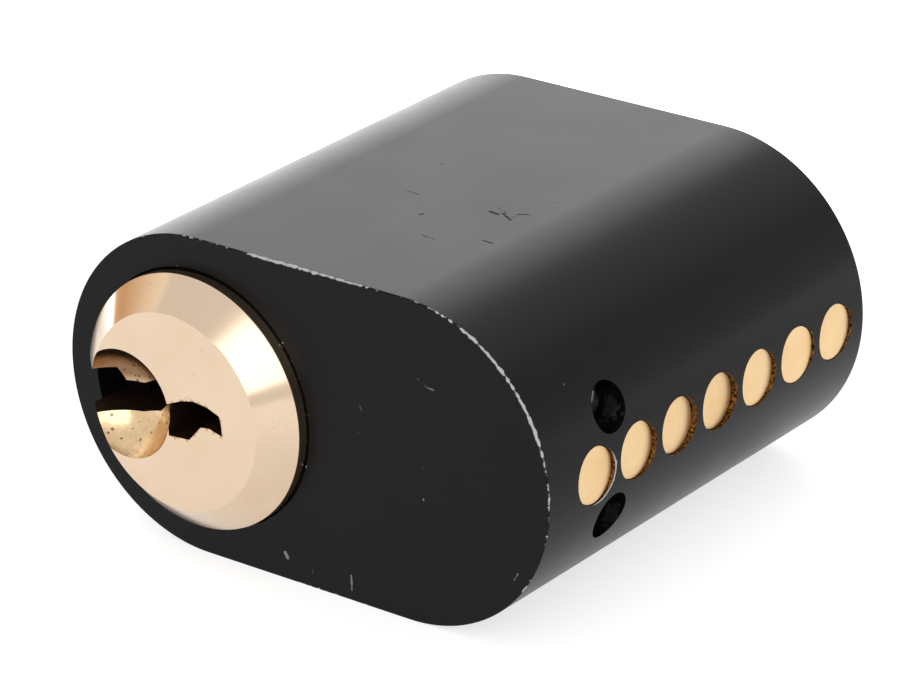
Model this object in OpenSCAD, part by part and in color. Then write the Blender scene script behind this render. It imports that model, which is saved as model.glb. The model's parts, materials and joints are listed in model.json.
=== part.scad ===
// Oval pin-tumbler lock cylinder, seven pins, keyed from the front.
// The plug turns about the Y axis. The pin stacks lie along +X, and the origin is
// where the plug's axis meets the housing's front face.

/* [Housing] */
// Thickness of the oval across its flats
body_w = 24.5; // [22:0.5:30]
// Length of the oval over its round ends
body_l = 42.8; // [40:0.1:52]
// Depth of the housing from front face to back face
body_d = 38.9; // [37.5:0.1:50]
// Chamfer on the front and back edges
edge_chamfer = 0.1; // [0.05:0.05:0.8]

/* [Plug] */
// Diameter of the plug's shank
shank_d = 15; // [13:0.1:17]
// Diameter of the plug's head
head_d = 19.35; // [18.5:0.05:21]
// Diameter of the flat on the front of the head
face_d = 15; // [12:0.1:17]
// How far the head's flat stands in front of the housing
head_rise = 3.1; // [2:0.05:5]
// How far the head's straight rim stands in front of the housing
rim_rise = 0.95; // [0.5:0.05:1.8]
// Depth of the head's seat in the housing
head_seat = 2.5; // [1.5:0.1:3]
// Radial clearance of the plug in its bore
plug_gap = 0.05; // [0.02:0.01:0.1]
// Radial gap around the head in its seat
head_gap = 0.15; // [0.1:0.05:0.4]
// End float of the plug
end_float = 0.1; // [0.05:0.05:0.3]
// Diameter of the hub behind the housing
hub_d = 12.4; // [11:0.1:13]
// Length of the hub behind the housing
hub_l = 5.2; // [4.6:0.1:8]

/* [Key entry] */
// Diameter of the scoop where it meets the face
scoop_d = 8.3; // [6:0.1:9]
// Depth of the scoop below the face
scoop_depth = 2.8; // [1.5:0.1:3.5]
// Distance of the scoop's centre from the plug's axis, away from the pins
scoop_x = 4.58; // [3.5:0.02:5.5]
// Distance of the scoop's centre below the plug's axis
scoop_z = 0.5; // [0:0.1:1]
// Length of keyway left behind the last pin
keyway_past = 1.7; // [1.6:0.1:2]

/* [Pins] */
// Number of pin stacks
pin_count = 7; // [5:1:7]
// Distance of the first pin from the front face
first_pin = 5.5; // [5:0.1:7]
// Distance from pin to pin
pin_pitch = 4.95; // [4.6:0.05:5]
// Diameter of the pins
pin_d = 3; // [2.6:0.1:3.2]
// Radial clearance of the pins in their holes
pin_gap = 0.05; // [0.02:0.01:0.1]
// Length of a key pin and its driver pin together
stack_l = 10.4; // [9.6:0.1:12]
// Distance of the pin holes' floor from the plug's axis
hole_floor = 0.8; // [0.2:0.1:1]
// Difference between one key cut and the next
cut_step = 0.5; // [0.3:0.05:0.5]
// Depth of the waist on the spool-shaped driver pins
spool_depth = 0.45; // [0.2:0.05:0.6]

/* [Chamber plugs] */
// Diameter of the plugs that close the chambers
cap_d = 4.25; // [3.6:0.05:4.5]
// Length of the shortest of those plugs
cap_l = 4; // [2.5:0.1:6]
// Depth of its face below the housing's round end
cap_recess = 0.5; // [0.35:0.05:0.8]

/* [Springs] */
// Radial clearance of the springs in their chambers
spring_gap = 0.25; // [0.1:0.05:0.4]
// Wire diameter of the pin springs
wire_d = 0.34; // [0.25:0.01:0.45]
// Turns of wire in each spring
coils = 9; // [7:1:10]

/* [Anti-drill pins] */
// Diameter of the anti-drill pins
guard_d = 3.5; // [3:0.1:3.8]
// Length of the anti-drill pins
guard_l = 15; // [10:0.5:16]
// Distance of the anti-drill pins from the front face
guard_y = 7.9; // [6:0.1:9]
// Distance of each anti-drill pin from the plane of the pin stacks
guard_z = 4.1; // [4:0.1:5]
// Depth of the anti-drill pins' ends below the housing's round end
guard_recess = 1.3; // [0.5:0.1:3]

/* [Back] */
// Distance between the two fixing-screw holes
screw_spacing = 14.4; // [13:0.1:16]
// Distance of the fixing-screw holes from the plug's axis, towards the pins
screw_x = 11; // [10:0.1:14]
// Tapping diameter of the fixing-screw holes
screw_d = 4.2; // [3.2:0.1:5]
// Depth of the fixing-screw holes
screw_depth = 12; // [8:0.5:16]
// Depth of the recess around the plug in the back face
back_recess = 1.6; // [1.5:0.1:1.9]
// Outer diameter of the thrust washer
washer_d = 18; // [16.5:0.1:18.4]
// Thickness of the thrust washer
washer_t = 0.5; // [0.3:0.1:0.6]
// Outer diameter of the retaining ring
ring_d = 15.4; // [14:0.1:16]
// Thickness of the retaining ring
ring_t = 0.8; // [0.6:0.1:0.9]
// Depth of the retaining ring's groove in the hub
groove_depth = 0.7; // [0.4:0.1:1]
// Width of the tailpiece
tail_w = 7; // [5:0.1:9]
// Thickness of the tailpiece
tail_t = 2.4; // [1.6:0.1:3]
// Length of tailpiece that stands behind the housing
tail_l = 18; // [12:1:60]
// Diameter of the pin that holds the tailpiece
tail_pin_d = 1.5; // [1:0.1:2]

/* [Hidden] */
$fn = 64;
// Overshoot of every cut past the faces it opens
cut = 1;
// Radial gap drawn between a pressed piece and its hole
press_gap = 0.01;
// Gap drawn between faces that rest on each other
rest_gap = 0.05;

end_r = body_w / 2;
end_x = body_l - body_w;
tip_x = end_x + end_r;
shank_r = shank_d / 2;
bore_r = shank_r + plug_gap;
head_r = head_d / 2;
face_r = face_d / 2;
hub_r = hub_d / 2;
seat_y = head_seat + end_float;

// Shear line: where the key pins end and the driver pins begin
crown = 0.3;
crown_r = 0.8;
shear_in = shank_r - 0.08;
shear_out = shank_r + 0.06;
pin_r = pin_d / 2;
hole_r = pin_r + pin_gap;
point = 0.7;
point_r = 0.7;

// Depth of the key's cut at each pin, in steps, and the lengths that follow from it
cut_code = [2, 4, 1, 5, 3, 4, 2];
spool = [false, true, false, true, false, true, false];
key_edge = 4.3;
first_cut = 0.4;
key_pin_l = [for (c = cut_code) shear_in - key_edge + first_cut + cut_step * c];
driver_l = [for (l = key_pin_l) stack_l - l];
spool_end = 1.2;

// The chamber plugs are cut by hand: how much longer than the shortest each one is
cap_extra = [0.2, 0.1, 0, 0, 0.15, 0.3, 0.25];
cap_r = cap_d / 2;
cap_x = tip_x - cap_recess - cap_l;
cap_edge = 0.1;
guard_r = guard_d / 2;
guard_end = end_x + sqrt(end_r * end_r - guard_z * guard_z) - guard_recess;
guard_edge = 0.4;

// Places along the hub, from the floor of the recess in the back face
washer_gap = 0.3;
recess_r = washer_d / 2 + washer_gap;
recess_y = body_d - back_recess;
washer_y = recess_y + end_float;
ring_y = washer_y + washer_t + rest_gap;
groove_y = ring_y - rest_gap / 2;
slot_y = ring_y + ring_t + 0.4;
hub_y = body_d + hub_l;
tail_pin_y = (slot_y + hub_y) / 2;
groove_r = hub_r - groove_depth;
ring_mouth = 4.6;
ring_off = 0.35;
lug_r = 1.3;
lug_hole_r = 0.55;
lug_angle = 27;
screw_lead = 0.5;
tail_edge = 0.5;

// Keyway, seen from the front: x towards the pins, z up
keyway = [
    [-head_r - cut, 1.1], [-6.8, 1.1], [-6.4, 0], [-5, 0], [-3.6, 0.7], [-0.6, 0.5],
    [0.8, 1.1], [1.9, 1.35], [3.2, 1.2], [4.25, 0.8], [4.4, 0.2], [4.45, -0.7],
    [3.3, -0.4], [2.5, -0.5], [1.4, -1.75], [-0.5, -1.9], [-0.55, 0], [-1.7, -0.1],
    [-3.3, -1.65], [-5, -2.15], [-head_r - cut, -2.5]
];
keyway_end = first_pin + (pin_count - 1) * pin_pitch + keyway_past;

wire_sides = 6;
wire_steps = 12;

function pin_y(i) = first_pin + (i - 1) * pin_pitch;
function driver_end(i) = shear_out + driver_l[i - 1];

// Stands a solid of revolution, drawn as [radius, height] points, on the Y axis
module turn_y(points) {
    rotate([-90, 0, 0])
        rotate_extrude()
            polygon(points);
}

// Lays a solid of revolution, drawn as [radius, x] points, along the X axis at y
module turn_x(points, y = 0, z = 0) {
    translate([0, y, z])
        rotate([0, 90, 0])
            rotate_extrude()
                polygon(points);
}

// A round hole or rod along X, from x0 to x1
module rod_x(r, x0, x1, y, z = 0) {
    translate([x0, y, z])
        rotate([0, 90, 0])
            cylinder(r = r, h = x1 - x0);
}

// A round hole or rod along Y, from y0 to y1
module rod_y(r, y0, y1, x = 0, z = 0) {
    translate([x, y0, z])
        rotate([-90, 0, 0])
            cylinder(r = r, h = y1 - y0);
}

// A flat outline, drawn in x and z, carried from y0 to y1
module prism_y(y0, y1) {
    translate([0, y1, 0])
        rotate([90, 0, 0])
            linear_extrude(height = y1 - y0)
                children();
}

// One round end of the oval, chamfered front and back
module oval_end(x) {
    translate([x, 0, 0])
        turn_y([
            [0, 0], [end_r - edge_chamfer, 0], [end_r, edge_chamfer],
            [end_r, body_d - edge_chamfer], [end_r - edge_chamfer, body_d], [0, body_d]
        ]);
}

module oval_block() {
    c = edge_chamfer;
    oval_end(0);
    oval_end(end_x);
    rotate([90, 0, 90])
        linear_extrude(height = end_x)
            polygon([
                [0, -end_r + c], [c, -end_r], [body_d - c, -end_r], [body_d, -end_r + c],
                [body_d, end_r - c], [body_d - c, end_r], [c, end_r], [0, end_r - c]
            ]);
}

module screw_hole(z) {
    rod_y(screw_d / 2, body_d - screw_depth, body_d + cut, screw_x, z);
    translate([screw_x, body_d - screw_lead, z])
        rotate([-90, 0, 0])
            cylinder(r1 = screw_d / 2, r2 = screw_d / 2 + 2 * screw_lead, h = 2 * screw_lead);
}

// Black-coated brass body with the plug's bore, the pin chambers and the guard holes
module housing() {
    color("#2b2b2d")
        difference() {
            oval_block();
            rod_y(bore_r, -cut, body_d + cut);
            rod_y(head_r + head_gap, -cut, seat_y);
            rod_y(recess_r, recess_y, body_d + cut);
            for (i = [1:pin_count]) {
                rod_x(hole_r, shank_r / 2, tip_x, pin_y(i));
                rod_x(cap_r + press_gap, cap_x, tip_x + cut, pin_y(i));
            }
            for (side = [-1, 1]) {
                rod_x(guard_r + press_gap, guard_end - guard_l, tip_x + cut, guard_y, side * guard_z);
                screw_hole(side * screw_spacing / 2);
            }
        }
}

// Turned outside of the plug: head, shank, hub and the groove for the ring
module plug_blank() {
    turn_y([
        [0, -head_rise], [face_r, -head_rise], [head_r, -rim_rise], [head_r, head_seat],
        [shank_r, head_seat], [shank_r, washer_y - rest_gap], [hub_r, washer_y - rest_gap],
        [hub_r, groove_y], [groove_r, groove_y], [groove_r, groove_y + ring_t + rest_gap],
        [hub_r, groove_y + ring_t + rest_gap], [hub_r, hub_y - crown], [hub_r - crown, hub_y],
        [0, hub_y]
    ]);
}

module scoop() {
    r = (pow(scoop_d / 2, 2) + pow(scoop_depth, 2)) / (2 * scoop_depth);
    translate([-scoop_x, scoop_depth - head_rise - r, -scoop_z])
        sphere(r = r);
}

// Brass plug with its keyway, scoop, pin holes and tailpiece slot
module plug() {
    color("#e8c79c")
        difference() {
            plug_blank();
            scoop();
            prism_y(-head_rise - cut, keyway_end)
                polygon(keyway);
            for (i = [1:pin_count])
                rod_x(hole_r, hole_floor, head_r, pin_y(i));
            translate([-tail_w / 2 - rest_gap, slot_y, -tail_t / 2 - rest_gap])
                cube([tail_w + 2 * rest_gap, hub_y - slot_y + cut, tail_t + 2 * rest_gap]);
            translate([0, tail_pin_y, -hub_r - cut])
                cylinder(r = tail_pin_d / 2 + press_gap, h = 2 * (hub_r + cut));
        }
}

// Key pin: a point that rides on the key and a crowned end at the shear line
module key_pin(i) {
    tip = shear_in - key_pin_l[i - 1];
    color("#d9b36c")
        turn_x([
            [0, tip], [point_r, tip], [pin_r, tip + point], [pin_r, shear_in - crown],
            [crown_r, shear_in], [0, shear_in]
        ], pin_y(i));
}

// Driver pin, plain or with a spool waist
module driver_pin(i) {
    far = driver_end(i);
    near_waist = shear_out + spool_end;
    far_waist = far - spool_end;
    waist_r = spool[i - 1] ? pin_r - spool_depth : pin_r;
    color("#c9cbd0")
        turn_x([
            [0, shear_out], [crown_r, shear_out], [pin_r, shear_out + crown],
            [pin_r, near_waist], [waist_r, near_waist + pin_r - waist_r],
            [waist_r, far_waist - pin_r + waist_r], [pin_r, far_waist],
            [pin_r, far - crown], [crown_r, far], [0, far]
        ], pin_y(i));
}

// Coil spring between a driver pin and its chamber plug, closed at both ends
module spring(i) {
    x0 = driver_end(i) + rest_gap + wire_d / 2;
    x1 = cap_x - rest_gap - wire_d / 2;
    rings = coils * wire_steps;
    lead = (x1 - x0 - 2 * wire_d) / (coils - 2);
    mid_r = hole_r - spring_gap - wire_d / 2;
    points = [
        for (k = [0:rings])
            let (t = k / wire_steps)
            let (x = x0 + wire_d * (min(t, 1) + max(t - coils + 1, 0)) + lead * (min(max(t, 1), coils - 1) - 1))
            for (s = [0:wire_sides - 1])
                let (a = 360 * s / wire_sides)
                let (rho = mid_r + wire_d / 2 * cos(a))
                [x + wire_d / 2 * sin(a), pin_y(i) + rho * cos(360 * t), rho * sin(360 * t)]
    ];
    sides = [
        for (k = [0:rings - 1])
            for (s = [0:wire_sides - 1])
                let (a = k * wire_sides + s)
                let (b = k * wire_sides + (s + 1) % wire_sides)
                each [[a, b, a + wire_sides], [b, b + wire_sides, a + wire_sides]]
    ];
    first_ring = [for (s = [0:wire_sides - 1]) wire_sides - 1 - s];
    last_ring = [for (s = [0:wire_sides - 1]) rings * wire_sides + s];
    color("#b9bcc2")
        polyhedron(points, concat([first_ring], sides, [last_ring]));
}

// Brass plug pressed into the mouth of a chamber
module chamber_plug(i) {
    far = cap_x + cap_l + cap_extra[i - 1];
    color("#edcb98")
        turn_x([
            [0, cap_x], [cap_r - cap_edge, cap_x], [cap_r, cap_x + cap_edge],
            [cap_r, far - cap_edge], [cap_r - cap_edge, far], [0, far]
        ], pin_y(i));
}

// Hardened pin beside the first chambers, pressed in below the surface
module anti_drill_pin(side) {
    near = guard_end - guard_l + rest_gap;
    color("#4a4a4e")
        turn_x([
            [0, near], [guard_r - guard_edge, near], [guard_r, near + guard_edge],
            [guard_r, guard_end - guard_edge], [guard_r - guard_edge, guard_end], [0, guard_end]
        ], guard_y, side * guard_z);
}

module thrust_washer() {
    color("#cfa86a")
        difference() {
            rod_y(washer_d / 2, washer_y, washer_y + washer_t);
            rod_y(hub_r + plug_gap, washer_y - cut, washer_y + washer_t + cut);
        }
}

// Open ring with two eyed lugs, sprung into the hub's groove
module retaining_ring() {
    lug_x = groove_r + rest_gap + lug_r;
    color("#8d9096")
        difference() {
            union() {
                rod_y(ring_d / 2 - ring_off, ring_y, ring_y + ring_t, ring_off);
                for (side = [-1, 1])
                    rod_y(lug_r, ring_y, ring_y + ring_t, -lug_x * cos(lug_angle), side * lug_x * sin(lug_angle));
            }
            rod_y(groove_r + rest_gap, ring_y - cut, ring_y + ring_t + cut);
            translate([-ring_d, ring_y - cut, -ring_mouth / 2])
                cube([ring_d, ring_t + 2 * cut, ring_mouth]);
            for (side = [-1, 1])
                rod_y(
                    lug_hole_r, ring_y - cut, ring_y + ring_t + cut,
                    -lug_x * cos(lug_angle), side * lug_x * sin(lug_angle)
                );
        }
}

// Flat bar in the hub's slot that carries the turn to the lock case
module tailpiece() {
    end_y = body_d + tail_l;
    color("#a9acb2")
        difference() {
            translate([0, 0, -tail_t / 2])
                linear_extrude(height = tail_t)
                    polygon([
                        [-tail_w / 2, slot_y + rest_gap], [tail_w / 2, slot_y + rest_gap],
                        [tail_w / 2, end_y - tail_edge], [tail_w / 2 - tail_edge, end_y],
                        [-tail_w / 2 + tail_edge, end_y], [-tail_w / 2, end_y - tail_edge]
                    ]);
            translate([0, tail_pin_y, -tail_t])
                cylinder(r = tail_pin_d / 2 + press_gap, h = 2 * tail_t);
        }
}

module tailpiece_pin() {
    color("#9a9da3")
        translate([0, tail_pin_y, -hub_r + crown])
            cylinder(r = tail_pin_d / 2, h = 2 * (hub_r - crown));
}

housing();
plug();
for (i = [1:pin_count]) {
    key_pin(i);
    driver_pin(i);
    spring(i);
    chamber_plug(i);
}
anti_drill_pin(1);  // anti_drill_pin_upper
anti_drill_pin(-1);  // anti_drill_pin_lower
thrust_washer();
retaining_ring();
tailpiece();
tailpiece_pin();
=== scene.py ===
import json
import math
import bmesh
import bpy
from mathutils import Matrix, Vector


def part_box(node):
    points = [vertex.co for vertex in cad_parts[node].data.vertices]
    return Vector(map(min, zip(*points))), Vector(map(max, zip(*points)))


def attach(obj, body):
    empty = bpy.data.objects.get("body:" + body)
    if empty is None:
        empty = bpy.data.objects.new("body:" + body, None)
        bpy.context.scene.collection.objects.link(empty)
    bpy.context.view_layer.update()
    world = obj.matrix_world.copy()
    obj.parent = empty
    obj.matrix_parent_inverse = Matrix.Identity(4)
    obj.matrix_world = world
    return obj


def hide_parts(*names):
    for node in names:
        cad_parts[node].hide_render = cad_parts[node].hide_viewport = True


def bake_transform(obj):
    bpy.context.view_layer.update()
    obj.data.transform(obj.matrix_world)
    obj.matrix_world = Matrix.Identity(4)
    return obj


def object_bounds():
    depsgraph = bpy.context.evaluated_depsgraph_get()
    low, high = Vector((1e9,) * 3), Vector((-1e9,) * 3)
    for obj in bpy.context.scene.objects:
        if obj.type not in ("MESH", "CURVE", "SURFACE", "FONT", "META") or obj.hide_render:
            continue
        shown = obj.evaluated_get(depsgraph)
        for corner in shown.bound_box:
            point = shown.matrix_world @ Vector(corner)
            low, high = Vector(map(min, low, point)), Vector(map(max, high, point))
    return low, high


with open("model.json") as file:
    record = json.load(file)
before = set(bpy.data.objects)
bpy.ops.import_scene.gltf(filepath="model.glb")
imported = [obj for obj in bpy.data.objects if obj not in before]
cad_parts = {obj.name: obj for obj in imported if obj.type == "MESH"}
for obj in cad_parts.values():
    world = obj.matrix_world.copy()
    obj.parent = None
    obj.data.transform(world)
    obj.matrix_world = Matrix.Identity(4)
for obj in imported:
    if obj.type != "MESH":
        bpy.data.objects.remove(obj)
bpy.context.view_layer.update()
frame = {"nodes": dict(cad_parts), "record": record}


# Housing. An oval length of brass bar, faced at both ends, bored for the plug from the front and
# drilled for the pin stacks from its round end, then coated satin black. Handling has chipped the
# coating along the sharp front edge and left fine scuffs on the flats.

mm = 0.001
body_low, body_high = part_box("housing")
end_r = body_high.z
end_x = body_high.x - end_r
body_d = body_high.y
edge_r = 0.1 * mm


def pick_only(piece):
    bpy.ops.object.select_all(action="DESELECT")
    piece.select_set(True)
    bpy.context.view_layer.objects.active = piece


def placed(name):
    # names the primitive just added and puts its place into its mesh
    piece = bpy.context.active_object
    pick_only(piece)
    bpy.ops.object.transform_apply(location=True, rotation=True, scale=True)
    piece.name = piece.data.name = name
    return piece


def select_in_edit(piece, kind, test):
    # selects the verts, edges or faces that pass the test, in edit mode
    bpy.ops.mesh.select_mode(type=kind)
    bpy.ops.mesh.select_all(action="DESELECT")
    shape = bmesh.from_edit_mesh(piece.data)
    parts = {"VERT": shape.verts, "EDGE": shape.edges, "FACE": shape.faces}[kind]
    for part in parts:
        if test(part):
            part.select_set(True)
    shape.select_flush_mode()
    bmesh.update_edit_mesh(piece.data)


def tidy_normals(piece):
    pick_only(piece)
    bpy.ops.object.mode_set(mode="EDIT")
    bpy.ops.mesh.select_all(action="SELECT")
    bpy.ops.mesh.remove_doubles(threshold=0.001 * mm)
    bpy.ops.mesh.normals_make_consistent(inside=False)
    bpy.ops.object.mode_set(mode="OBJECT")


def turned(name, points, along, sides=96, centre=(0, 0, 0)):
    # a bar turned about the axis "along": points are (radius, distance) from one end to the other
    axis = Vector(along)
    turn = (math.pi / 2, 0, 0) if axis.y else (0, math.pi / 2, 0)
    foot = Vector(centre)
    r, far = points[0]
    bpy.ops.mesh.primitive_circle_add(
        vertices=sides, radius=r, fill_type="NGON", location=foot + axis * far, rotation=turn
    )
    piece = placed(name)
    bpy.ops.object.mode_set(mode="EDIT")
    bpy.ops.mesh.select_all(action="SELECT")
    for next_r, next_far in points[1:]:
        bpy.ops.mesh.extrude_region_move(
            TRANSFORM_OT_translate={"value": axis * (next_far - far)}
        )
        if next_r != r:
            size = next_r / r
            bpy.ops.transform.resize(
                value=(size, size, size), center_override=foot + axis * next_far
            )
        r, far = next_r, next_far
    bpy.ops.object.mode_set(mode="OBJECT")
    tidy_normals(piece)
    return piece


def finish_with(piece, kind, **settings):
    pick_only(piece)
    modifier = piece.modifiers.new(kind.lower(), kind)
    for name, value in settings.items():
        setattr(modifier, name, value)
    bpy.ops.object.modifier_apply(modifier=modifier.name)


def cut_away(piece, cutter, finish=None):
    # takes the cutter's shape out of the piece; its walls get the cutter's finish
    if finish:
        cutter.data.materials.append(finish)
    finish_with(
        piece, "BOOLEAN", operation="DIFFERENCE", solver="EXACT", object=cutter,
        material_mode="TRANSFER"
    )
    bpy.data.objects.remove(cutter)


def smooth(piece, degrees=30):
    # soft shading over rounded faces that leaves the flat ones flat
    pick_only(piece)
    bpy.ops.object.shade_smooth_by_angle(angle=math.radians(degrees))
    finish_with(piece, "WEIGHTED_NORMAL", mode="FACE_AREA", weight=100, keep_sharp=True)


def srgb(code):
    # a sRGB hex colour as linear values
    parts = [int(code[i:i + 2], 16) / 255 for i in (1, 3, 5)]
    return [c / 12.92 if c <= 0.04045 else ((c + 0.055) / 1.055) ** 2.4 for c in parts] + [1]


def add(tree, kind, inputs=(), **settings):
    # adds a node with its settings; an input is a value or the socket that feeds it
    new = tree.nodes.new(kind)
    for name, value in settings.items():
        setattr(new, name, value)
    for name, value in dict(inputs).items():
        if isinstance(value, bpy.types.NodeSocket):
            tree.links.new(value, new.inputs[name])
        else:
            new.inputs[name].default_value = value
    return new


def start_material(name):
    material = bpy.data.materials.new(name)
    material.use_nodes = True
    tree = material.node_tree
    return material, tree, tree.nodes["Principled BSDF"]


def line_distance(tree, place, start, end):
    # distance of a place from a straight line between two points, all in metres
    run = Vector(end) - Vector(start)
    out = add(tree, "ShaderNodeVectorMath", {0: place, 1: start}, operation="SUBTRACT")
    share = add(
        tree, "ShaderNodeVectorMath", {0: out.outputs[0], 1: run / run.length_squared},
        operation="DOT_PRODUCT"
    )
    held = add(tree, "ShaderNodeClamp", {"Value": share.outputs["Value"]})
    foot = add(tree, "ShaderNodeVectorMath", {0: run, "Scale": held.outputs[0]}, operation="SCALE")
    gap = add(tree, "ShaderNodeVectorMath", {0: out.outputs[0], 1: foot.outputs[0]}, operation="SUBTRACT")
    return add(tree, "ShaderNodeVectorMath", {0: gap.outputs[0]}, operation="LENGTH").outputs["Value"]


def maths(tree, operation, *values, **settings):
    # one sum on numbers or sockets
    return add(
        tree, "ShaderNodeMath", dict(enumerate(values)), operation=operation, **settings
    ).outputs[0]


def between(tree, value, low, high, to_low=0.0, to_high=1.0):
    # carries a value from one range to another and holds it at the ends
    return add(
        tree, "ShaderNodeMapRange",
        {"Value": value, "From Min": low, "From Max": high, "To Min": to_low, "To Max": to_high}
    ).outputs[0]


# Black coating: a thin dipped lacquer over brass. Satin and nearly even; where an edge or a hole's
# mouth was knocked, the pale primer shows as small chips, and a few scuffs dull the upper flat.
black_coat, tree, shader = start_material("black_dipped_lacquer")
place = add(tree, "ShaderNodeTexCoord").outputs["Object"]
split = add(tree, "ShaderNodeSeparateXYZ", {"Vector": place})

# distance in from the oval's side, and from there the distance from the front and back edges
along = add(tree, "ShaderNodeClamp", {"Value": split.outputs["X"], "Min": 0.0, "Max": end_x})
across = maths(tree, "SUBTRACT", split.outputs["X"], along.outputs[0])
flat_place = add(tree, "ShaderNodeCombineXYZ", {"X": across, "Z": split.outputs["Z"]})
from_middle = add(tree, "ShaderNodeVectorMath", {0: flat_place.outputs[0]}, operation="LENGTH")
inset = maths(tree, "SUBTRACT", end_r, from_middle.outputs["Value"])
front_off = maths(tree, "ADD", inset, split.outputs["Y"])
to_back = maths(tree, "SUBTRACT", body_d, split.outputs["Y"])
back_off = maths(tree, "ADD", inset, to_back)

# wear round the oval's edge, by the direction from its middle: heavy along the upper front edge
# and the upper round end, a little below, hardly any elsewhere
from_mid_x = maths(tree, "SUBTRACT", split.outputs["X"], end_x / 2)
turn = maths(tree, "ARCTAN2", split.outputs["Z"], from_mid_x)
turn_share = between(tree, turn, -math.pi, math.pi)
wear = add(tree, "ShaderNodeValToRGB", {"Fac": turn_share})
wear_stops = [
    (0.0, 0.3), (0.225, 0.15), (0.24, 0.6), (0.31, 0.5), (0.33, 0.1), (0.42, 0.1), (0.44, 0.5),
    (0.46, 0.2), (0.515, 0.45), (0.54, 0.9), (0.6, 0.8), (0.625, 0.5), (0.655, 0.2), (0.69, 0.75),
    (0.8, 0.95), (0.81, 0.25), (0.865, 0.45), (0.88, 0.2)
]
for stop, value in wear_stops[1:-1]:
    wear.color_ramp.elements.new(stop)
for element, (stop, value) in zip(wear.color_ramp.elements, wear_stops):
    element.position = stop
    element.color = (value, value, value, 1)
teeth = add(
    tree, "ShaderNodeTexNoise", {"Vector": place, "Scale": 1 / (0.55 * mm), "Detail": 3.0, "Roughness": 0.6}
).outputs["Fac"]
uneven = maths(tree, "MULTIPLY_ADD", teeth, 2.2, -1.35)
front_wear = maths(tree, "ADD", wear.outputs["Color"], uneven)
front_reach = maths(tree, "MULTIPLY_ADD", front_wear, 0.24 * mm, 0.01 * mm)
back_reach = maths(tree, "MULTIPLY_ADD", uneven, 0.25 * mm, 0.04 * mm)
front_room = maths(tree, "SUBTRACT", front_reach, front_off)
back_room = maths(tree, "SUBTRACT", back_reach, back_off)

# chips round the edge of the seat and round the mouths of the chambers
seat_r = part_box("plug")[1].z + 0.15 * mm
seat_place = add(tree, "ShaderNodeCombineXYZ", {"X": split.outputs["X"], "Z": split.outputs["Z"]})
seat_out = add(tree, "ShaderNodeVectorMath", {0: seat_place.outputs[0]}, operation="LENGTH")
seat_off = maths(tree, "SUBTRACT", seat_out.outputs["Value"], seat_r)
seat_edge = maths(tree, "ADD", seat_off, maths(tree, "ABSOLUTE", split.outputs["Y"]))
nicks = add(
    tree, "ShaderNodeTexNoise", {"Vector": place, "Scale": 1 / (0.4 * mm), "Detail": 2.0}
).outputs["Fac"]
seat_reach = between(tree, nicks, 0.62, 0.78, 0.0, 0.2 * mm)
seat_room = maths(tree, "SUBTRACT", seat_reach, seat_edge)

first_low, first_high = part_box("chamber_plug_1")
second_low, second_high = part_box("chamber_plug_2")
chamber_count = len([name for name in frame["nodes"] if name.startswith("chamber_plug_")])
first_pin = (first_low.y + first_high.y) / 2
pin_pitch = second_low.y - first_low.y
mouth_r = first_high.z + 0.02 * mm
from_first = maths(tree, "SUBTRACT", split.outputs["Y"], first_pin)
stack = add(
    tree, "ShaderNodeClamp",
    {"Value": maths(tree, "ROUND", maths(tree, "DIVIDE", from_first, pin_pitch)), "Min": 0.0,
     "Max": chamber_count - 1.0}
).outputs[0]
in_pitch = maths(tree, "SUBTRACT", from_first, maths(tree, "MULTIPLY", stack, pin_pitch))
mouth_place = add(tree, "ShaderNodeCombineXYZ", {"Y": in_pitch, "Z": split.outputs["Z"]})
mouth_out = add(tree, "ShaderNodeVectorMath", {0: mouth_place.outputs[0]}, operation="LENGTH")
mouth_off = maths(tree, "SUBTRACT", mouth_out.outputs["Value"], mouth_r)
right_end = maths(tree, "GREATER_THAN", split.outputs["X"], end_x + end_r / 2)
first_only = maths(tree, "LESS_THAN", stack, 0.5)
first_side = maths(tree, "MULTIPLY_ADD", split.outputs["Z"], -0.6, from_first)
first_chip = between(tree, first_side, 0.6 * mm, 2.2 * mm, 0.0, 0.2 * mm)
mouth_reach = maths(tree, "MULTIPLY_ADD", first_chip, first_only,
                    between(tree, nicks, 0.6, 0.8, -0.02 * mm, 0.1 * mm))
mouth_room = maths(tree, "SUBTRACT", mouth_reach, mouth_off)
mouth_room = maths(tree, "MULTIPLY", mouth_room, right_end)
chip_room = maths(tree, "MAXIMUM", maths(tree, "MAXIMUM", front_room, back_room),
                  maths(tree, "MAXIMUM", seat_room, mouth_room))
chip = between(tree, chip_room, 0.0, 0.05 * mm)

# specks of dust and tiny nicks, a tenth of a millimetre across
speck_cells = add(tree, "ShaderNodeTexVoronoi", {"Vector": place, "Scale": 1 / (2.2 * mm)})
speck_pick = add(tree, "ShaderNodeSeparateColor", {"Color": speck_cells.outputs["Color"]})
speck_size = between(tree, speck_pick.outputs["Red"], 0.86, 1.0, 0.0, 0.04)
speck_room = maths(tree, "SUBTRACT", speck_size, speck_cells.outputs["Distance"])
speck = between(tree, speck_room, 0.0, 0.015, 0.0, 0.4)

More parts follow.
